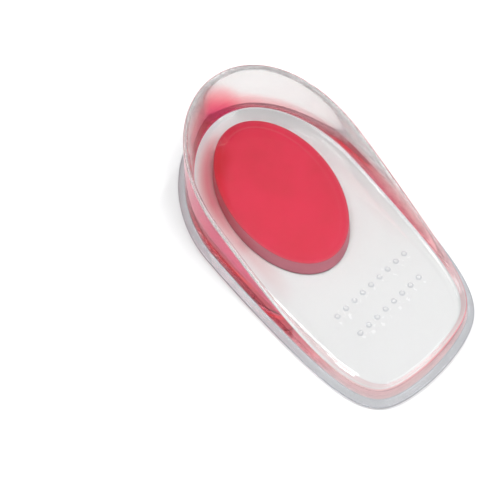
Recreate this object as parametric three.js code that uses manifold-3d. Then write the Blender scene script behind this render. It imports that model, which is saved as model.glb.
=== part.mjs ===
// A clear gel heel cup with a soft red heel pad set into its floor.
// Millimetres, +Z up, +Y towards the back of the heel, resting on z = 0.

import * as THREE from 'three';
import { mergeVertices } from 'three/addons/utils/BufferGeometryUtils.js';
import Module from 'manifold-3d';

// Outline of the rim, measured from its widest place
const rimWidth = 55;
const frontWidth = 46.2;
const heelReach = 39.4;
const frontReach = 67.5;
const heelRoundness = 2.02;
const cornerSquareness = 7.7;
const frontArcRadius = 81;

// The cup leans to one side, as the foot does: rise along Y for each mm across
const frontSlant = 0.152;
const heelSlant = 0.158;

// Heights, and where along Y they climb from the front value to the heel value
const rimHeightHeel = 24.4;
const rimHeightFront = 5.8;
const rimRiseStart = -55.2;
const rimRiseEnd = 36.3;
const floorHeightHeel = 6.2;
const floorHeightFront = 5.5;
const floorRiseStart = -27.5;
const floorRiseEnd = 9.2;

// Low skirt that runs round the foot of the wall, out from the rim's outline
const skirtReach = 3;
const skirtHeight = 0.9;
const skirtFillet = 0.4;

// Wall section: the outer face drafts out towards its foot, the floor edge lies in from the rim
const wallDraft = 0.75;
const lipRadius = 0.6;
const floorEdgeHeel = 2.9;
const floorEdgeSide = 2.5;
const floorEdgeFront = 1.5;
const coveWidth = 4.1;
const coveDepth = 0.8;

// Heel pad, an oval plug under a clear skin; its base stands a little off to one side of its top
const padLength = 56.1;
const padWidth = 34.8;
const padCentreX = 0.7;
const padCentreY = 4.6;
const padTurn = THREE.MathUtils.degToRad(-7.1);
const padDraft = 0.3;
const padLeanX = -1.2;
const padLeanY = -1.5;
const padShoulder = 0.35;
const padRecess = 0.3;
const skinThickness = 0.8;
const padClearance = 0.3;

// Raised dots on the front of the floor, in two rows
const dotRadius = 0.9;
const dotHeight = 0.45;
const dotPitch = 3.6;
const dotCounts = [9, 8];
const dotRowPitch = 8.5;
const dotRowsX = 1.5;
const dotRowsY = -38;

// Fineness of the faceted surfaces
const outlineSteps = 96;
const measuringSteps = 40 * outlineSteps;
const roundingSteps = 2;
const padSteps = 64;
const dotSides = 10;
const dotRings = 6;

// Inner face of the wall, from the top of the lip to the floor edge
const innerFaceRows = [
  { across: 0.18, down: 0.01 },
  { across: 0.33, down: 0.04 },
  { across: 0.45, down: 0.11 },
  { across: 0.58, down: 0.3 },
  { across: 0.73, down: 0.6 },
  { across: 0.87, down: 0.85 },
  { across: 1, down: 1 },
];

// Cove that carries the floor edge down to the floor
const coveRows = [
  { across: 0.12, down: 0.42 },
  { across: 0.3, down: 0.7 },
  { across: 0.6, down: 0.93 },
  { across: 1, down: 1 },
];

// Rings that carry the floor and the pad's top in to their middles
const floorShares = [0.8, 0.55, 0.3];
const padTopShares = [0.4, 0.7];

const { clamp, lerp, smoothstep } = THREE.MathUtils;
const inset = (amount) => ({ heel: amount, side: amount, front: amount });

// Turns from start to end in equal steps, both ends among them
function turns(start, end, steps) {
  return Array.from({ length: steps + 1 }, (_, i) => lerp(start, end, i / steps));
}

// Point of the outline at an angle, moved in by its own amounts at heel, side and front
function outlinePoint(angle, moved) {
  const across = Math.cos(angle);
  const along = Math.sin(angle);
  const power = 2 / (along >= 0 ? heelRoundness : cornerSquareness);
  const halfWidth = rimWidth / 2 - moved.side;
  const straightX = halfWidth * Math.sign(across) * Math.abs(across) ** power;
  const sag = straightX ** 2 / (2 * frontArcRadius);
  const reach = along >= 0 ? heelReach - moved.heel : -(frontReach - moved.front - sag);
  const y = reach * Math.abs(along) ** power;
  const toFront = clamp(-y / frontReach, 0, 1);
  const toHeel = clamp(y / heelReach, 0, 1);
  const x = straightX * (1 - (1 - frontWidth / rimWidth) * toFront ** 2);
  return new THREE.Vector2(x, y + x * (frontSlant * toFront + heelSlant * toHeel));
}

// Angles that put the outline's points at equal distances along it
function evenAngles(count) {
  const lengths = [0];
  let last = outlinePoint(0, inset(0));
  for (let i = 1; i <= measuringSteps; i += 1) {
    const next = outlinePoint((2 * Math.PI * i) / measuringSteps, inset(0));
    lengths.push(lengths[i - 1] + next.distanceTo(last));
    last = next;
  }
  const angles = [];
  let place = 1;
  for (let i = 0; i < count; i += 1) {
    const wanted = (lengths[measuringSteps] * i) / count;
    while (lengths[place] < wanted) place += 1;
    const part = (wanted - lengths[place - 1]) / (lengths[place] - lengths[place - 1]);
    angles.push((2 * Math.PI * (place - 1 + part)) / measuringSteps);
  }
  return angles;
}

const angles = evenAngles(outlineSteps);

const rimHeight = (y) => lerp(rimHeightFront, rimHeightHeel, smoothstep(y, rimRiseStart, rimRiseEnd));

const floorEdgeHeight = (y) => lerp(floorHeightFront, floorHeightHeel, smoothstep(y, floorRiseStart, floorRiseEnd));

const floorHeight = (y) => floorEdgeHeight(y) - coveDepth;

// A ring of points: insets and heights may differ from place to place round the cup
function ring(moved, heightAt) {
  return angles.map((angle) => {
    const point = outlinePoint(angle, moved);
    const rimY = outlinePoint(angle, inset(0)).y;
    return new THREE.Vector3(point.x, point.y, heightAt(rimY, point.y));
  });
}

// Closed skin through rings that run outwards, up and back in, with a middle point at each end
function skinRings(rings, firstMiddle, lastMiddle) {
  const count = rings[0].length;
  const points = [firstMiddle, ...rings.flat(), lastMiddle];
  const faces = [];
  const at = (row, i) => 1 + row * count + (i % count);
  for (let i = 0; i < count; i += 1) {
    faces.push(0, at(0, i + 1), at(0, i));
    for (let row = 0; row + 1 < rings.length; row += 1) {
      faces.push(at(row, i), at(row, i + 1), at(row + 1, i + 1));
      faces.push(at(row, i), at(row + 1, i + 1), at(row + 1, i));
    }
    faces.push(at(rings.length - 1, i), at(rings.length - 1, i + 1), points.length - 1);
  }
  const geometry = new THREE.BufferGeometry().setFromPoints(points);
  geometry.setIndex(faces);
  return geometry;
}

// Skirt with a rounded edge, and the fillet that leads from it to the wall
function skirtRings() {
  const edgeRadius = skirtHeight / 2;
  const edge = turns(0, Math.PI, 2 * roundingSteps).map((turn) => (
    ring(inset(edgeRadius * (1 - Math.sin(turn)) - skirtReach), () => edgeRadius * (1 - Math.cos(turn)))
  ));
  const fillet = turns(0, Math.PI / 2, roundingSteps).map((turn) => {
    const out = wallDraft + skirtFillet * (1 - Math.sin(turn));
    return ring(inset(-out), () => skirtHeight + skirtFillet * (1 - Math.cos(turn)));
  });
  return [...edge, ...fillet];
}

// Lip on top of the wall, a quarter round from the outer face to the crown
function lipRings() {
  return turns(0, Math.PI / 2, roundingSteps).map((turn) => {
    const heightAt = (rimY) => rimHeight(rimY) - lipRadius * (1 - Math.sin(turn));
    return ring(inset(lipRadius * (1 - Math.cos(turn))), heightAt);
  });
}

// Inner face of the wall and the cove at its foot
function innerRings() {
  const wall = innerFaceRows.map((row) => {
    const moved = {
      heel: lerp(lipRadius, floorEdgeHeel, row.across),
      side: lerp(lipRadius, floorEdgeSide, row.across),
      front: lerp(lipRadius, floorEdgeFront, row.across),
    };
    return ring(moved, (rimY) => lerp(rimHeight(rimY), floorEdgeHeight(rimY), row.down));
  });
  const cove = coveRows.map((row) => {
    const step = coveWidth * row.across;
    const moved = { heel: floorEdgeHeel + step, side: floorEdgeSide + step, front: floorEdgeFront + step };
    const heightAt = (rimY, y) => {
      const top = lerp(floorEdgeHeight(rimY), floorEdgeHeight(y), row.down);
      return top - coveDepth * row.down;
    };
    return ring(moved, heightAt);
  });
  return [...wall, ...cove];
}

// The whole clear cup before the pad's pocket is cut
function cupShell() {
  const rings = [...skirtRings(), ...lipRings(), ...innerRings()];
  const middleY = (heelReach - frontReach) / 2;
  const floorRing = rings[rings.length - 1];
  for (const part of floorShares) {
    rings.push(floorRing.map((point) => {
      const y = lerp(middleY, point.y, part);
      return new THREE.Vector3(point.x * part, y, floorHeight(y));
    }));
  }
  const underside = new THREE.Vector3(0, middleY, 0);
  const floorMiddle = new THREE.Vector3(0, middleY, floorHeight(middleY));
  return skinRings(rings, underside, floorMiddle);
}

// Oval plug whose top follows the floor; its pocket is grown all round and runs on below it
function ovalPlug(growth, runOn) {
  const topDrop = skinThickness + padClearance - growth;
  const side = new THREE.Vector2(Math.cos(padTurn), Math.sin(padTurn));
  const oval = (shrink, lean, heightAt) => {
    const points = [];
    for (let i = 0; i < padSteps; i += 1) {
      const angle = (2 * Math.PI * i) / padSteps;
      const u = (padWidth / 2 - shrink + growth) * Math.cos(angle);
      const v = (padLength / 2 - shrink + growth) * Math.sin(angle);
      const x = padCentreX + padLeanX * lean + u * side.x - v * side.y;
      const y = padCentreY + padLeanY * lean + u * side.y + v * side.x;
      points.push(new THREE.Vector3(x, y, heightAt(y)));
    }
    return points;
  };
  const top = (y) => floorHeight(y) - topDrop;
  const rings = [oval(-padDraft, 1, () => padRecess)];
  if (runOn > 0) rings.unshift(oval(-padDraft, 1, () => padRecess - runOn));
  for (const turn of turns(0, Math.PI / 2, roundingSteps)) {
    const drop = padShoulder * (1 - Math.sin(turn));
    rings.push(oval(padShoulder * (1 - Math.cos(turn)), 0, (y) => top(y) - drop));
  }
  for (const part of padTopShares) rings.push(oval((padWidth / 2) * part, 0, top));
  const underside = new THREE.Vector3(padCentreX + padLeanX, padCentreY + padLeanY, padRecess - runOn);
  const crown = new THREE.Vector3(padCentreX, padCentreY, top(padCentreY));
  return skinRings(rings, underside, crown);
}

// One raised dot, part of a ball that stands out of the floor
function floorDot(x, y) {
  const ballRadius = (dotRadius ** 2 + dotHeight ** 2) / (2 * dotHeight);
  const ball = new THREE.SphereGeometry(ballRadius, dotSides, dotRings);
  ball.rotateX(Math.PI / 2);
  ball.translate(x, y, floorHeight(y) + dotHeight - ballRadius);
  return ball;
}

const wasm = await Module();
wasm.setup();

function toSolid(geometry) {
  const bare = geometry.clone();
  bare.deleteAttribute('normal');
  bare.deleteAttribute('uv');
  const merged = mergeVertices(bare);
  return new wasm.Manifold(new wasm.Mesh({
    numProp: 3,
    vertProperties: new Float32Array(merged.attributes.position.array),
    triVerts: new Uint32Array(merged.index.array),
  }));
}

function toGeometry(solid) {
  const mesh = solid.getMesh();
  const geometry = new THREE.BufferGeometry();
  geometry.setAttribute('position', new THREE.BufferAttribute(mesh.vertProperties, 3));
  geometry.setIndex(new THREE.BufferAttribute(mesh.triVerts, 1));
  geometry.computeVertexNormals();
  return geometry;
}

// Clear cup: walls and floor in one moulding, dots raised on it, pocket open underneath
function cupBody() {
  let solid = toSolid(cupShell());
  dotCounts.forEach((count, row) => {
    const rowY = dotRowsY - row * dotRowPitch;
    for (let i = 0; i < count; i += 1) {
      const x = dotRowsX + (i - (count - 1) / 2) * dotPitch;
      solid = solid.add(toSolid(floorDot(x, rowY + frontSlant * x)));
    }
  });
  solid = solid.subtract(toSolid(ovalPlug(padClearance, padRecess + padClearance)));
  const material = new THREE.MeshStandardMaterial({
    color: 0xe9ecea,
    roughness: 0.08,
    metalness: 0,
    transparent: true,
    opacity: 0.35,
  });
  const mesh = new THREE.Mesh(toGeometry(solid), material);
  mesh.name = 'cup_body';
  return mesh;
}

// Red pad, softer than the cup, that fills the pocket
function heelPad() {
  const geometry = toGeometry(toSolid(ovalPlug(0, 0)));
  const material = new THREE.MeshStandardMaterial({ color: 0xe23f57, roughness: 0.45, metalness: 0 });
  const mesh = new THREE.Mesh(geometry, material);
  mesh.name = 'heel_pad';
  return mesh;
}

// The origin goes to the middle of the footprint, on the surface that the cup rests on
const body = cupBody();
const pad = heelPad();
const footprint = new THREE.Box3().setFromObject(body);
const middle = footprint.getCenter(new THREE.Vector3());
const heelCup = new THREE.Group();
heelCup.add(body, pad);
for (const mesh of heelCup.children) mesh.position.set(-middle.x, -middle.y, 0);

export default heelCup;
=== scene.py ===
import math

import bpy
import numpy as np
from mathutils import Matrix, Vector


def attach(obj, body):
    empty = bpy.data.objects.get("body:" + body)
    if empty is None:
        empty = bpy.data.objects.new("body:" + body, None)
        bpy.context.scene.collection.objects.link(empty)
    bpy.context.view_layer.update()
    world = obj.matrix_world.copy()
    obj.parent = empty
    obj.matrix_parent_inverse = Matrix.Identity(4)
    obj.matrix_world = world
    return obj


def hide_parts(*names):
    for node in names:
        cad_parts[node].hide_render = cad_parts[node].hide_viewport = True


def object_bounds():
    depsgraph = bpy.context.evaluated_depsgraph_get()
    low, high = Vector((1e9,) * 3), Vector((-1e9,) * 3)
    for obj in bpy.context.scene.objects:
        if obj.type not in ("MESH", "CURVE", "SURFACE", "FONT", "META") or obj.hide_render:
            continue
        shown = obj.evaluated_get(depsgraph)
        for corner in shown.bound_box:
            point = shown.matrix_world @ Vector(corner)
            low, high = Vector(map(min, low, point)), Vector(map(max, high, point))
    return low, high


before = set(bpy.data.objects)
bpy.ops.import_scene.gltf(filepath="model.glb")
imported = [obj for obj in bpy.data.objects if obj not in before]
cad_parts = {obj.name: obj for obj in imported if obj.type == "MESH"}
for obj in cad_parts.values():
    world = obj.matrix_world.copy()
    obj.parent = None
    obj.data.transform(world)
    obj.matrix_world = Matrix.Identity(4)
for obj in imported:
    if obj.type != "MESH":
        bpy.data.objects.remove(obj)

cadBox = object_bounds()
mm = 0.001
restingOn = cadBox[0].z
print("frame loaded, CAD box", [round(v, 4) for v in (*cadBox[0], *cadBox[1])])

# The cup's rim outline, measured from its widest place, heel towards +Y
outlineShape = {
    "rimWidth": 55 * mm,
    "frontWidth": 46.2 * mm,
    "heelReach": 39.4 * mm,
    "frontReach": 67.5 * mm,
    "heelRoundness": 2.02,
    "cornerSquareness": 7.7,
    "frontArcRadius": 81 * mm,
    "frontSlant": 0.152,
    "heelSlant": 0.158,
}

heightShape = {
    "rimHeel": 24.4 * mm,
    "rimFront": 5.8 * mm,
    "rimRise": (-55.2 * mm, 36.3 * mm),
    "floorHeel": 6.2 * mm,
    "floorFront": 5.5 * mm,
    "floorRise": (-27.5 * mm, 9.2 * mm),
}

wallShape = {
    "skirtReach": 3 * mm,  # the low clear skirt, out from the rim's outline
    "skirtHeight": 0.9 * mm,
    "skirtFillet": 0.4 * mm,
    "edgeTone": 1.0,  # painted shade: how dark the skirt's rounded edge, its top and the fillet are painted
    "skirtTone": 0.5,
    "filletTone": 0.75,
    "wallDraft": 0.75 * mm,
    "lipRadius": 0.6 * mm,
    "floorEdge": (2.9 * mm, 2.5 * mm, 1.5 * mm),  # in from the rim at heel, side and front
    "coveWidth": 4.1 * mm,
    "coveDepth": 0.8 * mm,
    "aroundSteps": 320,
    "measuringSteps": 60 * 320,  # to space the steps around evenly
    "roundingSteps": 8,
    "wallSteps": 10,
    "innerSteps": 22,
    "coveSteps": 14,
    "floorRings": 9,
}

# Share of the way across and share of the way down, in each row
innerFaceRows = [  # from the lip's top to the floor edge
    (0, 0),
    (0.18, 0.01),
    (0.33, 0.04),
    (0.45, 0.11),
    (0.58, 0.3),
    (0.73, 0.6),
    (0.87, 0.85),
    (1, 1),
]
coveRows = [  # from the floor edge to the floor
    (0, 0),
    (0.12, 0.42),
    (0.3, 0.7),
    (0.6, 0.93),
    (1, 1),
]


def climb(value, ends):
    t = np.clip((value - ends[0]) / (ends[1] - ends[0]), 0, 1)
    return t * t * (3 - 2 * t)


def rimHeight(y):
    h = heightShape
    return h["rimFront"] + (h["rimHeel"] - h["rimFront"]) * climb(y, h["rimRise"])


def floorEdgeHeight(y):
    h = heightShape
    return h["floorFront"] + (h["floorHeel"] - h["floorFront"]) * climb(y, h["floorRise"])


def floorHeight(y):
    return floorEdgeHeight(y) - wallShape["coveDepth"]


def outlineRing(angles, heelIn, sideIn, frontIn):
    o = outlineShape
    across, along = np.cos(angles), np.sin(angles)
    towardsHeel = along >= 0
    power = 2 / np.where(towardsHeel, o["heelRoundness"], o["cornerSquareness"])
    x = (o["rimWidth"] / 2 - sideIn) * np.sign(across) * np.abs(across) ** power
    sag = x**2 / (2 * o["frontArcRadius"])
    reach = np.where(towardsHeel, o["heelReach"] - heelIn, -(o["frontReach"] - frontIn - sag))
    y = reach * np.abs(along) ** power
    toFront = np.clip(-y / o["frontReach"], 0, 1)
    toHeel = np.clip(y / o["heelReach"], 0, 1)
    x = x * (1 - (1 - o["frontWidth"] / o["rimWidth"]) * toFront**2)
    return x, y + x * (o["frontSlant"] * toFront + o["heelSlant"] * toHeel)


def evenAngles(count):
    # angles that space the outline's points evenly
    fine = np.linspace(0, 2 * math.pi, wallShape["measuringSteps"] + 1)
    x, y = outlineRing(fine, 0, 0, 0)
    lengths = np.concatenate([[0], np.cumsum(np.hypot(np.diff(x), np.diff(y)))])
    return np.interp(np.arange(count) / count * lengths[-1], lengths, fine)


def smoothRows(rows, steps):
    # a smooth curve through the rows, as steps + 1 points
    rows = np.array(rows, float)
    ends = np.vstack([2 * rows[0] - rows[1], rows, 2 * rows[-1] - rows[-2]])
    found = []
    for place in np.linspace(0, len(rows) - 1, steps + 1):
        i = min(int(place), len(rows) - 2)
        t = place - i
        a, b, c, d = ends[i : i + 4]
        square = (2 * a - 5 * b + 4 * c - d) * t**2
        cube = (3 * b - a - 3 * c + d) * t**3
        found.append((2 * b + (c - a) * t + square + cube) / 2)
    return found


def skinRings(name, rings, shades, firstMiddle, lastMiddle):
    # closed skin through rings of equal count, a middle point at each end, its shades stored on the points
    count = len(rings[0])
    points = [firstMiddle] + [tuple(p) for ring in rings for p in ring] + [lastMiddle]
    faces = []
    for i in range(count):
        j = (i + 1) % count
        faces.append((0, 1 + j, 1 + i))
        for row in range(len(rings) - 1):
            low, high = 1 + row * count, 1 + (row + 1) * count
            faces.append((low + i, low + j, high + j, high + i))
        top = 1 + (len(rings) - 1) * count
        faces.append((top + i, top + j, len(points) - 1))
    mesh = bpy.data.meshes.new(name)
    mesh.from_pydata([tuple(map(float, p)) for p in points], [], faces)
    mesh.update()
    for shadeName, values in shades.items():
        shade = mesh.attributes.new(shadeName, "FLOAT", "POINT")
        onPoints = np.concatenate([values[0][:1], *values, values[-1][:1]])
        shade.data.foreach_set("value", onPoints.astype(np.float32))
    return mesh


def addPiece(name, mesh, material):
    piece = bpy.data.objects.new(name, mesh)
    bpy.context.scene.collection.objects.link(piece)
    mesh.materials.append(material)
    mesh.shade_smooth()
    return piece


# The camera stands where the photo's camera stood, seen from the cup
cameraPlace = {
    "aim": (-18.2 * mm, 14.4 * mm, 0.0),
    "azimuth": -35.1,
    "elevation": 59.16,
    "roll": -2.12,
    "distance": 452.7 * mm,
    "lens": 112.2,
    "clipStart": 20 * mm,
}


def addCamera(place):
    data = bpy.data.cameras.new("camera")
    data.lens = place["lens"]
    data.clip_start = place["clipStart"]
    camera = bpy.data.objects.new("camera", data)
    bpy.context.scene.collection.objects.link(camera)
    azimuth, elevation = math.radians(place["azimuth"]), math.radians(place["elevation"])
    flat = math.cos(elevation)
    back = Vector((math.sin(azimuth) * flat, -math.cos(azimuth) * flat, math.sin(elevation)))
    right = Vector((math.cos(azimuth), math.sin(azimuth), 0))
    up = back.cross(right)
    turn = math.radians(place["roll"])
    leanRight = math.cos(turn) * right + math.sin(turn) * up
    leanUp = back.cross(leanRight)
    spot = Vector(place["aim"]) + back * place["distance"]
    camera.matrix_world = Matrix.Translation(spot) @ Matrix((leanRight, leanUp, back)).transposed().to_4x4()
    bpy.context.scene.camera = camera


addCamera(cameraPlace)
print("camera set")


def newMaterial(name):
    material = bpy.data.materials.new(name)
    material.use_nodes = True
    tree = material.node_tree
    return material, tree.nodes, tree.links, tree.nodes["Principled BSDF"]


def skinWaveGroup():
    # soft unevenness of a moulded gel skin, shared by the clear and the red gel
    group = bpy.data.node_groups.new("gelSkinWave", "ShaderNodeTree")
    for name, value in (("Coarse Scale", 90.0), ("Fine Scale", 900.0), ("Fine Share", 0.2)):
        socket = group.interface.new_socket(name=name, in_out="INPUT", socket_type="NodeSocketFloat")
        socket.default_value = value
    group.interface.new_socket(name="Height", in_out="OUTPUT", socket_type="NodeSocketFloat")
    nodes, links = group.nodes, group.links
    entry, leave = nodes.new("NodeGroupInput"), nodes.new("NodeGroupOutput")
    place = nodes.new("ShaderNodeTexCoord")
    coarse, fine = nodes.new("ShaderNodeTexNoise"), nodes.new("ShaderNodeTexNoise")
    coarse.inputs["Detail"].default_value = 1.5
    fine.inputs["Detail"].default_value = 2.0
    mix = nodes.new("ShaderNodeMix")
    for noise, scale in ((coarse, "Coarse Scale"), (fine, "Fine Scale")):
        links.new(place.outputs["Object"], noise.inputs["Vector"])
        links.new(entry.outputs[scale], noise.inputs["Scale"])
    links.new(entry.outputs["Fine Share"], mix.inputs["Factor"])
    links.new(coarse.outputs["Fac"], mix.inputs["A"])
    links.new(fine.outputs["Fac"], mix.inputs["B"])
    links.new(mix.outputs["Result"], leave.inputs["Height"])
    return group


gelSkinWave = skinWaveGroup()


def addSkinWave(nodes, links, shader, coarse, fine, fineShare, depth):
    wave = nodes.new("ShaderNodeGroup")
    wave.node_tree = gelSkinWave
    wave.inputs["Coarse Scale"].default_value = coarse
    wave.inputs["Fine Scale"].default_value = fine
    wave.inputs["Fine Share"].default_value = fineShare
    bump = nodes.new("ShaderNodeBump")
    bump.inputs["Strength"].default_value = 1.0
    bump.inputs["Distance"].default_value = depth
    links.new(wave.outputs["Height"], bump.inputs["Height"])
    links.new(bump.outputs["Normal"], shader.inputs["Normal"])


def addRange(nodes, taken, given):
    # carries the values between the first pair over to the second pair
    span = nodes.new("ShaderNodeMapRange")
    span.inputs["From Min"].default_value, span.inputs["From Max"].default_value = taken
    span.inputs["To Min"].default_value, span.inputs["To Max"].default_value = given
    return span


clearGel = {
    "colour": (0.994, 0.996, 0.992, 1),
    "steepShadeColour": (0.78, 0.78, 0.77, 1),
    # the bluish grey of the painted shade on the skirt's edge and the dots' flanks
    "paintedEdgeColour": (0.42, 0.46, 0.53, 1),
    # the red of the pad's light, painted into the gel
    "redLit": (0.84, 0.003, 0.036, 1),
    "redLitDepth": 4.0,  # how soon a little painted red light turns the face fully red
    "patchScale": 70.0,
    "patchNoise": (0.3, 0.7),  # noise between these values makes the red light uneven
    "patchShare": (0.86, 1.05),  # and leaves this share of it
    "steepness": (0.75, 0.3),  # upright share of the face's normal, from a flat face to a wall
    "ior": 1.41,
    "roughness": 0.035,
    "waves": (90.0, 700.0, 0.12),
    "waveDepth": 0.05 * mm,
}


def clearGelMaterial(look):
    # the pad's red light comes out of the outer and inner faces: rendered in part, painted in from a shade
    # on the skin
    material, nodes, links, shader = newMaterial("clearGel")
    shade, facing = nodes.new("ShaderNodeAttribute"), nodes.new("ShaderNodeNewGeometry")
    outside = nodes.new("ShaderNodeMath")
    shade.attribute_name = "paintedLight"
    outside.operation = "SUBTRACT"
    outside.use_clamp = True
    outside.inputs[0].default_value = 1.0
    # a ray that comes off the studio floor or the pad sees plain gel, so no red falls on that floor
    path, unlit = nodes.new("ShaderNodeLightPath"), nodes.new("ShaderNodeMath")
    unlit.operation = "MAXIMUM"
    links.new(facing.outputs["Backfacing"], unlit.inputs[0])
    links.new(path.outputs["Is Diffuse Ray"], unlit.inputs[1])
    links.new(unlit.outputs["Value"], outside.inputs[1])
    place, patches = nodes.new("ShaderNodeTexCoord"), nodes.new("ShaderNodeTexNoise")
    patches.inputs["Scale"].default_value = look["patchScale"]
    patches.inputs["Detail"].default_value = 2.0
    uneven = addRange(nodes, look["patchNoise"], look["patchShare"])
    links.new(place.outputs["Object"], patches.inputs["Vector"])
    links.new(patches.outputs["Fac"], uneven.inputs["Value"])
    lit, litHere, clearHere, clearDeep, redHere = (nodes.new("ShaderNodeMath") for _ in range(5))
    lit.operation = litHere.operation = "MULTIPLY"
    clearHere.operation = redHere.operation = "SUBTRACT"
    clearDeep.operation = "POWER"
    clearHere.use_clamp = redHere.use_clamp = True
    links.new(shade.outputs["Fac"], lit.inputs[0])
    links.new(outside.outputs["Value"], lit.inputs[1])
    links.new(lit.outputs["Value"], litHere.inputs[0])
    links.new(uneven.outputs["Result"], litHere.inputs[1])
    clearHere.inputs[0].default_value = redHere.inputs[0].default_value = 1.0
    clearDeep.inputs[1].default_value = look["redLitDepth"]
    links.new(litHere.outputs["Value"], clearHere.inputs[1])
    links.new(clearHere.outputs["Value"], clearDeep.inputs[0])
    links.new(clearDeep.outputs["Value"], redHere.inputs[1])
    blend = nodes.new("ShaderNodeMix")
    blend.data_type = "RGBA"
    blend.inputs["B"].default_value = look["redLit"]
    # upright walls, the skirt's edge and the dots' flanks are looked through longer and pass less, plus
    # painted shade
    split, upright = nodes.new("ShaderNodeSeparateXYZ"), nodes.new("ShaderNodeMath")
    upright.operation = "ABSOLUTE"
    steep = addRange(nodes, look["steepness"], (0, 1))
    links.new(facing.outputs["Normal"], split.inputs["Vector"])
    links.new(split.outputs["Z"], upright.inputs[0])
    links.new(upright.outputs["Value"], steep.inputs["Value"])
    # painted shade: the skirt's rounded edge, its top, the fillet and the dots' flanks turn bluish grey
    wall, edge = nodes.new("ShaderNodeMix"), nodes.new("ShaderNodeMix")
    paintedEdgeShade = nodes.new("ShaderNodeAttribute")
    wall.data_type = edge.data_type = "RGBA"
    paintedEdgeShade.attribute_name = "paintedEdgeShade"
    wall.inputs["A"].default_value = look["colour"]
    wall.inputs["B"].default_value = look["steepShadeColour"]
    edge.inputs["B"].default_value = look["paintedEdgeColour"]
    links.new(steep.outputs["Result"], wall.inputs["Factor"])
    links.new(paintedEdgeShade.outputs["Fac"], edge.inputs["Factor"])
    links.new(wall.outputs["Result"], edge.inputs["A"])
    links.new(edge.outputs["Result"], blend.inputs["A"])
    links.new(redHere.outputs["Value"], blend.inputs["Factor"])
    links.new(blend.outputs["Result"], shader.inputs["Base Color"])
    shader.inputs["Transmission Weight"].default_value = 1.0
    shader.inputs["IOR"].default_value = look["ior"]
    shader.inputs["Roughness"].default_value = look["roughness"]
    addSkinWave(nodes, links, shader, *look["waves"], look["waveDepth"])
    return material


def setRamp(ramp, positions, colours):
    for stop, position, colour in zip(ramp.color_ramp.elements, positions, colours):
        stop.position = position
        stop.color = colour


redGel = {
    "colour": (0.9, 0.003, 0.07, 1),
    "deepColour": (0.84, 0.001, 0.052, 1),
    # the paler pink of the pad's painted lit side and its painted highlights
    "paintedEdgeColour": (0.8, 0.24, 0.31, 1),
    "roughness": 0.5,
    "mottleScale": 120.0,
    "mottleNoise": (0.3, 0.62),  # the deep colour below the first value, the plain one above the second
    "waves": (150.0, 1500.0, 0.35),
    "waveDepth": 0.02 * mm,
}


def redGelMaterial(look):
    material, nodes, links, shader = newMaterial("redGel")
    place, mottle = nodes.new("ShaderNodeTexCoord"), nodes.new("ShaderNodeTexNoise")
    mottle.inputs["Scale"].default_value = look["mottleScale"]
    mottle.inputs["Detail"].default_value = 3.0
    blend = nodes.new("ShaderNodeValToRGB")
    setRamp(blend, look["mottleNoise"], (look["deepColour"], look["colour"]))
    links.new(place.outputs["Object"], mottle.inputs["Vector"])
    links.new(mottle.outputs["Fac"], blend.inputs["Fac"])
    # painted light: the side, the shoulder's highlight line and the arc are mixed towards a paler pink
    shade, edge = nodes.new("ShaderNodeAttribute"), nodes.new("ShaderNodeMix")
    shade.attribute_name = "paintedLight"
    edge.data_type = "RGBA"
    edge.inputs["B"].default_value = look["paintedEdgeColour"]
    links.new(shade.outputs["Fac"], edge.inputs["Factor"])
    links.new(blend.outputs["Color"], edge.inputs["A"])
    links.new(edge.outputs["Result"], shader.inputs["Base Color"])
    shader.inputs["Roughness"].default_value = look["roughness"]
    addSkinWave(nodes, links, shader, *look["waves"], look["waveDepth"])
    return material


clearGelLook = clearGelMaterial(clearGel)
redGelLook = redGelMaterial(redGel)
print("gel materials made")

# How far the outline's own zero lies from the middle of the footprint
footX, footY = outlineRing(evenAngles(wallShape["aroundSteps"]), *[-wallShape["skirtReach"]] * 3)
footMiddle = ((footX.min() + footX.max()) / 2, (footY.min() + footY.max()) / 2)


# How much of the pad's red light is painted on each face, going once round from the right-hand side over
# the heel
redLight = {
    "columns": ("wayRound", "outerFace", "lip", "innerFace", "innerReach", "cove"),
    "rows": [
        (0, 0.45, 0.95, 0.5, 8 * mm, 0.03),
        (0.08, 0.4, 0.95, 0.4, 6 * mm, 0),
        (0.13, 0.3, 0.9, 0.35, 6 * mm, 0),
        (0.16, 0.25, 0.85, 0.5, 8 * mm, 0),
        (0.18, 0.25, 0.8, 0.85, 14 * mm, 0),
        (0.205, 0.4, 0.8, 1, 19 * mm, 0.05),
        (0.235, 0.75, 0.6, 0.95, 18 * mm, 0.35),
        (0.33, 0.95, 0.2, 0.65, 22 * mm, 0.5),
        (0.4, 1, 0, 0.35, 16 * mm, 0.2),
        (0.5, 0.8, 0, 0.2, 8 * mm, 0),
        (0.54, 0.5, 0, 0.12, 5 * mm, 0),
        (0.58, 0.22, 0.1, 0.1, 3 * mm, 0),
        (0.7, 0.2, 0.4, 0.1, 3 * mm, 0),
        (0.8, 0.22, 0.65, 0.15, 3 * mm, 0),
        (0.86, 0.35, 0.85, 0.4, 5 * mm, 0),
        (0.93, 0.45, 0.95, 0.55, 8 * mm, 0.03),
    ],
    "outerFoot": 0.6,  # share of the outer face's light at the wall's foot
    "edgeLine": 0.3,  # share of the inner face's light in a line along the floor edge
    "edgeLineFrom": 0.985,
    "coveRest": 0.8,  # share of the cove's light in the floor's first ring
}


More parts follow.
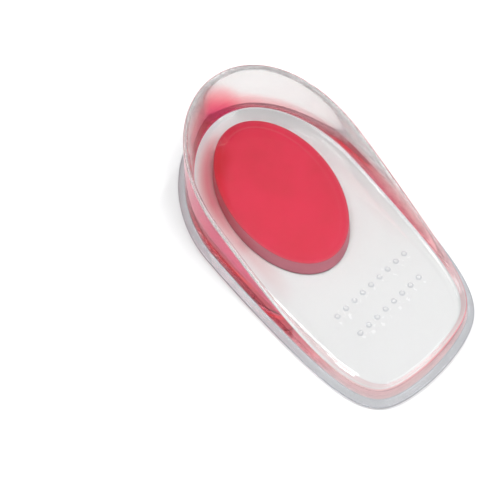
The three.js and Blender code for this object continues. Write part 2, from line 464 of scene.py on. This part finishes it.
def cupRings():
    w = wallShape
    angles = evenAngles(w["aroundSteps"])
    wayRound = np.arange(len(angles)) / len(angles)
    column = dict(zip(redLight["columns"], np.transpose(redLight["rows"])))
    outerLight, lipLight, innerLight, innerReach, coveLight = (
        np.interp(wayRound, column["wayRound"], column[name], period=1) for name in redLight["columns"][1:]
    )
    shades = {"paintedLight": [], "paintedEdgeShade": []}
    rimY = outlineRing(angles, 0, 0, 0)[1]
    rim, edge = rimHeight(rimY), floorEdgeHeight(rimY)
    rings = []

    def addRing(insets, heights, red=0, dark=0):
        x, y = outlineRing(angles, *insets)
        z = heights(y) if callable(heights) else heights
        rings.append(np.column_stack([x, y, z + np.zeros(len(x))]))
        shades["paintedLight"].append(np.clip(red + np.zeros(len(x)), 0, 1))
        shades["paintedEdgeShade"].append(dark + np.zeros(len(x)))

    reach, skirt, fillet = w["skirtReach"], w["skirtHeight"], w["skirtFillet"]
    draft, lip = w["wallDraft"], w["lipRadius"]
    edgeRadius = skirt / 2
    addRing([3 * edgeRadius - reach] * 3, 0)  # on the flat underside, inside the rounded edge
    # painted shade on the skirt's rounded edge and its top
    for turn in np.linspace(0, math.pi, 2 * w["roundingSteps"] + 1):
        dark = max(w["edgeTone"] * math.sin(turn), w["skirtTone"] * (turn > math.pi / 2))
        inset = edgeRadius * (1 - math.sin(turn)) - reach
        addRing([inset] * 3, edgeRadius * (1 - math.cos(turn)), dark=dark)
    quarter = np.linspace(0, math.pi / 2, w["roundingSteps"] + 1)
    # painted shade on the fillet up to the wall
    for turn in quarter:
        dark = w["skirtTone"] + (w["filletTone"] - w["skirtTone"]) * math.sin(turn)
        inset = -draft - fillet * (1 - math.sin(turn))
        addRing([inset] * 3, skirt + fillet * (1 - math.cos(turn)), dark=dark)
    wallFoot = skirt + fillet
    foot = redLight["outerFoot"]
    # painted red light on the outer face, weaker at its foot
    for up in np.linspace(0, 1, w["wallSteps"] + 1)[1:]:
        light = outerLight * (foot + (1 - foot) * up)
        addRing([-draft * (1 - up)] * 3, wallFoot + (rim - lip - wallFoot) * up, light)
    # painted red light on the lip
    for turn in quarter[1:]:
        inset = lip * (1 - math.cos(turn))
        addRing([inset] * 3, rim - lip * (1 - math.sin(turn)), lipLight * math.cos(turn))
    # painted red light on the inner face, strongest near the floor edge, with a painted line along that
    # edge
    for across, down in smoothRows(innerFaceRows, w["innerSteps"])[1:]:
        nearEdge = np.clip(1 - (rim - edge) * (1 - down) / innerReach, 0, 1)
        light = innerLight * (nearEdge + redLight["edgeLine"] * (down > redLight["edgeLineFrom"]))
        addRing([lip + (e - lip) * across for e in w["floorEdge"]], rim + (edge - rim) * down, light)
    # painted red light on the cove
    for across, down in smoothRows(coveRows, w["coveSteps"])[1:]:
        insets = [e + w["coveWidth"] * across for e in w["floorEdge"]]
        addRing(insets, lambda y: edge + (floorHeight(y) - edge) * down, coveLight * across)
    middleY = (outlineShape["heelReach"] - outlineShape["frontReach"]) / 2
    last = rings[-1]
    # the floor's first ring keeps part of the cove's painted red light
    for ring, part in enumerate(np.linspace(1, 0, w["floorRings"] + 1)[1:-1]):
        y = middleY + (last[:, 1] - middleY) * part
        rings.append(np.column_stack([last[:, 0] * part, y, floorHeight(y)]))
        shades["paintedLight"].append(coveLight * (redLight["coveRest"] if ring == 0 else 0))
        shades["paintedEdgeShade"].append(np.zeros(len(y)))
    return rings, shades, (0, middleY, 0), (0, middleY, float(floorHeight(middleY)))


def moveToFrame(mesh):
    shift = Matrix.Translation((-footMiddle[0], -footMiddle[1], restingOn))
    mesh.transform(shift)


cupMesh = skinRings("clearCup", *cupRings())
moveToFrame(cupMesh)
clearCup = addPiece("clearCup", cupMesh, clearGelLook)
print("clear cup skinned,", len(cupMesh.polygons), "faces")

# Raised dots on the front of the floor, in two rows
floorDots = {
    "radius": 0.9 * mm,
    "height": 0.45 * mm,
    "pitch": 3.6 * mm,
    "counts": (9, 8),
    "rowPitch": 8.5 * mm,
    "rowsX": 1.5 * mm,
    "rowsY": -38 * mm,
    "flankNormal": (1.0, 0.7),  # upright share of the normal, from a dot's top to its flank
    "flankShade": 0.75,
    "ballFineness": 4,
}


def dotTree(dots):
    tree = bpy.data.node_groups.new("floorDotRows", "GeometryNodeTree")
    tree.interface.new_socket(name="Geometry", in_out="INPUT", socket_type="NodeSocketGeometry")
    for name in ("Ball Radius", "Dot Pitch", "Slant"):
        tree.interface.new_socket(name=name, in_out="INPUT", socket_type="NodeSocketFloat")
    for row in range(len(dots["counts"])):
        tree.interface.new_socket(name=f"Row {row} Count", in_out="INPUT", socket_type="NodeSocketInt")
        tree.interface.new_socket(name=f"Row {row} Start", in_out="INPUT", socket_type="NodeSocketVector")
    tree.interface.new_socket(name="Material", in_out="INPUT", socket_type="NodeSocketMaterial")
    tree.interface.new_socket(name="Geometry", in_out="OUTPUT", socket_type="NodeSocketGeometry")
    nodes, links = tree.nodes, tree.links
    entry, leave = nodes.new("NodeGroupInput"), nodes.new("NodeGroupOutput")
    ball = nodes.new("GeometryNodeMeshIcoSphere")
    ball.inputs["Subdivisions"].default_value = dots["ballFineness"]
    links.new(entry.outputs["Ball Radius"], ball.inputs["Radius"])
    # painted shade: the dots' flanks are painted darker than their tops
    normal, split = nodes.new("GeometryNodeInputNormal"), nodes.new("ShaderNodeSeparateXYZ")
    slope = addRange(nodes, dots["flankNormal"], (0, dots["flankShade"]))
    flank = nodes.new("GeometryNodeStoreNamedAttribute")
    flank.inputs["Name"].default_value = "paintedEdgeShade"
    links.new(normal.outputs["Normal"], split.inputs["Vector"])
    links.new(split.outputs["Z"], slope.inputs["Value"])
    links.new(ball.outputs["Mesh"], flank.inputs["Geometry"])
    links.new(slope.outputs["Result"], flank.inputs["Value"])
    step = nodes.new("ShaderNodeCombineXYZ")
    rise = nodes.new("ShaderNodeMath")
    rise.operation = "MULTIPLY"
    links.new(entry.outputs["Dot Pitch"], step.inputs["X"])
    links.new(entry.outputs["Dot Pitch"], rise.inputs[0])
    links.new(entry.outputs["Slant"], rise.inputs[1])
    links.new(rise.outputs["Value"], step.inputs["Y"])
    join = nodes.new("GeometryNodeJoinGeometry")
    for row in range(len(dots["counts"])):
        line, put = nodes.new("GeometryNodeMeshLine"), nodes.new("GeometryNodeInstanceOnPoints")
        links.new(entry.outputs[f"Row {row} Count"], line.inputs["Count"])
        links.new(entry.outputs[f"Row {row} Start"], line.inputs["Start Location"])
        links.new(step.outputs["Vector"], line.inputs["Offset"])
        links.new(line.outputs["Mesh"], put.inputs["Points"])
        links.new(flank.outputs["Geometry"], put.inputs["Instance"])
        links.new(put.outputs["Instances"], join.inputs["Geometry"])
    realize = nodes.new("GeometryNodeRealizeInstances")
    unite = nodes.new("GeometryNodeMeshBoolean")
    unite.operation = "UNION"
    unite.solver = "MANIFOLD"
    paint = nodes.new("GeometryNodeSetMaterial")
    links.new(join.outputs["Geometry"], realize.inputs["Geometry"])
    links.new(entry.outputs["Geometry"], unite.inputs["Mesh 2"])
    links.new(realize.outputs["Geometry"], unite.inputs["Mesh 2"])
    links.new(unite.outputs["Mesh"], paint.inputs["Geometry"])
    links.new(entry.outputs["Material"], paint.inputs["Material"])
    links.new(paint.outputs["Geometry"], leave.inputs["Geometry"])
    return tree


def applyTree(piece, tree, values):
    modifier = piece.modifiers.new(tree.name, "NODES")
    modifier.node_group = tree
    for item in tree.interface.items_tree:
        if item.item_type == "SOCKET" and item.in_out == "INPUT" and item.name in values:
            modifier[item.identifier] = values[item.name]
    piece.update_tag()
    graph = bpy.context.evaluated_depsgraph_get()
    made = bpy.data.meshes.new_from_object(piece.evaluated_get(graph))
    piece.modifiers.remove(modifier)
    piece.data = made
    made.shade_smooth()


def raiseDots(dots):
    ballRadius = (dots["radius"] ** 2 + dots["height"] ** 2) / (2 * dots["height"])
    slant = outlineShape["frontSlant"]
    values = {
        "Ball Radius": ballRadius,
        "Dot Pitch": dots["pitch"],
        "Slant": slant,
        "Material": clearGelLook,
    }
    for row, count in enumerate(dots["counts"]):
        x = dots["rowsX"] - (count - 1) / 2 * dots["pitch"]
        y = dots["rowsY"] - row * dots["rowPitch"] + slant * x
        z = float(floorHeight(y)) + dots["height"] - ballRadius
        values[f"Row {row} Count"] = count
        values[f"Row {row} Start"] = (x - footMiddle[0], y - footMiddle[1], z + restingOn)
    applyTree(clearCup, dotTree(dots), values)


raiseDots(floorDots)
print("dots raised,", len(clearCup.data.polygons), "faces")

# The red pad, an oval plug cured into the clear floor
padShape = {
    "length": 56.1 * mm,
    "width": 34.8 * mm,
    "centre": (0.7 * mm, 4.6 * mm),
    "turn": -7.1,
    "draft": 0.3 * mm,
    "lean": (-1.2 * mm, -1.5 * mm),  # how far the base stands off from below the top
    "shoulder": 0.35 * mm,
    "recess": 0.3 * mm,
    "skin": 0.8 * mm,
    "topShade": 0.85,  # share of the side's painted paler tone gone at the top, leaving a painted highlight on the shoulder
    "aroundSteps": 192,
    "sideSteps": 8,
    "roundingSteps": 8,
    "topInsets": tuple(v * mm for v in (1.3, 2.1, 2.6, 3.1, 4.2, 7, 10.5, 14)),
    "arcInset": 2.6 * mm,  # a faint painted highlight arc just inside the heel end's edge
    "arcTurns": (0, 30, 75, 120, 150, 360),  # degrees round the pad, and the painted highlight's strength there
    "arcHighlight": (0.05, 0.16, 0.2, 0.1, 0, 0.05),
}


def padRings():
    p = padShape
    angles = np.linspace(0, 2 * math.pi, p["aroundSteps"], endpoint=False)
    turn = math.radians(p["turn"])
    rings, shades = [], {"paintedLight": []}

    def top(y):
        return floorHeight(y) - p["skin"]

    def addRing(shrink, heights, shade=0, lean=0):
        u = (p["width"] / 2 - shrink) * np.cos(angles)
        v = (p["length"] / 2 - shrink) * np.sin(angles)
        x = p["centre"][0] + u * math.cos(turn) - v * math.sin(turn) + p["lean"][0] * lean
        y = p["centre"][1] + u * math.sin(turn) + v * math.cos(turn) + p["lean"][1] * lean
        rings.append(np.column_stack([x, y, heights(y)]))
        shades["paintedLight"].append(shade + np.zeros(len(angles)))

    shoulder = p["shoulder"]
    # painted light: the pad's base edge and side are painted a paler pink
    addRing(-p["draft"] + shoulder, lambda y: p["recess"] + 0 * y, 1, 1)
    for up in np.linspace(0, 1, p["sideSteps"] + 1):
        spread = -p["draft"] * (1 - up)
        addRing(spread, lambda y: p["recess"] + (top(y) - shoulder - p["recess"]) * up, 1, 1 - up)
    # painted highlight along the rounded shoulder, fading towards the top
    for turnUp in np.linspace(0, math.pi / 2, p["roundingSteps"] + 1)[1:]:
        share = 1 - math.sin(turnUp)
        shade = 1 - p["topShade"] * (1 - share)
        addRing(shoulder * (1 - math.cos(turnUp)), lambda y: top(y) - shoulder * share, shade)
    # a painted highlight arc on one ring of the top
    arc = np.interp(np.degrees(angles), p["arcTurns"], p["arcHighlight"])
    for inset in p["topInsets"]:
        addRing(inset, top, arc * (inset == p["arcInset"]))
    centre = p["centre"]
    return rings, shades, (*centre, p["recess"]), (*centre, float(top(centre[1])))


padMesh = skinRings("redPad", *padRings())
moveToFrame(padMesh)
redPad = addPiece("redPad", padMesh, redGelLook)
print("red pad skinned,", len(padMesh.polygons), "faces")

studio = {
    "floorColour": (0.93, 0.93, 0.935, 1),
    "floorDrop": 0.25 * mm,
    "floorSize": 3.0,
    "floorRoughness": 0.6,
    "floorShine": 0.1,
    "skyTop": (1.0, 1.0, 1.0, 1),
    "skyEdge": (0.56, 0.59, 0.65, 1),
    "skyFull": 0.42,  # height, as a sine, from which the sky is fully bright
    "skyStrength": 0.77,
    "lampDistance": 0.9,
    "bounces": (64, 40, 40),  # in all, mirrored and let through
}

# Directions are seen from the cup, sizes are in metres and powers in watts
softboxes = {
    "leftSoftbox": {"direction": (-0.22, 0.42, 0.88), "size": (0.25, 0.25), "power": 2.0},
    "heelSoftbox": {"direction": (0.3, -0.15, 0.95), "size": (0.3, 0.3), "power": 2.7},
    "rightSoftbox": {
        "direction": (0.8, 0.4, 0.45),
        "size": (0.08, 0.35),
        "power": 1.8,
        "seenThrough": False,  # its image in the gel would be a hard patch
    },
}


def addFloor(look):
    half = look["floorSize"] / 2
    z = restingOn - look["floorDrop"]
    mesh = bpy.data.meshes.new("floor")
    corners = [(-half, -half, z), (half, -half, z), (half, half, z), (-half, half, z)]
    mesh.from_pydata(corners, [], [(0, 1, 2, 3)])
    material, _, _, shader = newMaterial("paleFloor")
    shader.inputs["Base Color"].default_value = look["floorColour"]
    shader.inputs["Roughness"].default_value = look["floorRoughness"]
    shader.inputs["Specular IOR Level"].default_value = look["floorShine"]
    floor = addPiece("floor", mesh, material)


def addSky(look):
    world = bpy.data.worlds.new("studioSky")
    bpy.context.scene.world = world
    world.use_nodes = True
    nodes, links = world.node_tree.nodes, world.node_tree.links
    background = nodes["Background"]
    place, split = nodes.new("ShaderNodeTexCoord"), nodes.new("ShaderNodeSeparateXYZ")
    blend = nodes.new("ShaderNodeValToRGB")
    setRamp(blend, (0, look["skyFull"]), (look["skyEdge"], look["skyTop"]))
    links.new(place.outputs["Generated"], split.inputs["Vector"])
    links.new(split.outputs["Z"], blend.inputs["Fac"])
    links.new(blend.outputs["Color"], background.inputs["Color"])
    background.inputs["Strength"].default_value = look["skyStrength"]


def addSoftbox(name, distance, direction, size, power, seenThrough=True):
    data = bpy.data.lights.new(name, "AREA")
    data.shape = "RECTANGLE"
    data.size, data.size_y = size
    data.energy = power
    lamp = bpy.data.objects.new(name, data)
    bpy.context.scene.collection.objects.link(lamp)
    away = Vector(direction).normalized()
    lamp.location = away * distance
    lamp.rotation_mode = "QUATERNION"
    lamp.rotation_quaternion = away.to_track_quat("Z", "Y")
    lamp.visible_transmission = seenThrough


addFloor(studio)
addSky(studio)
for name, settings in softboxes.items():
    addSoftbox(name, studio["lampDistance"], **settings)
bpy.context.scene.view_settings.view_transform = "Standard"


def allowBounces(total, mirrored, through):
    # light runs far along inside the gel before it leaves
    light = bpy.context.scene.cycles
    light.max_bounces, light.glossy_bounces, light.transmission_bounces = total, mirrored, through


allowBounces(*studio["bounces"])
print("studio lit")

for piece, node, slot in ((clearCup, "cup_body", "clear_gel"), (redPad, "heel_pad", "red_gel")):
    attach(piece, "root")
    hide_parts(node)
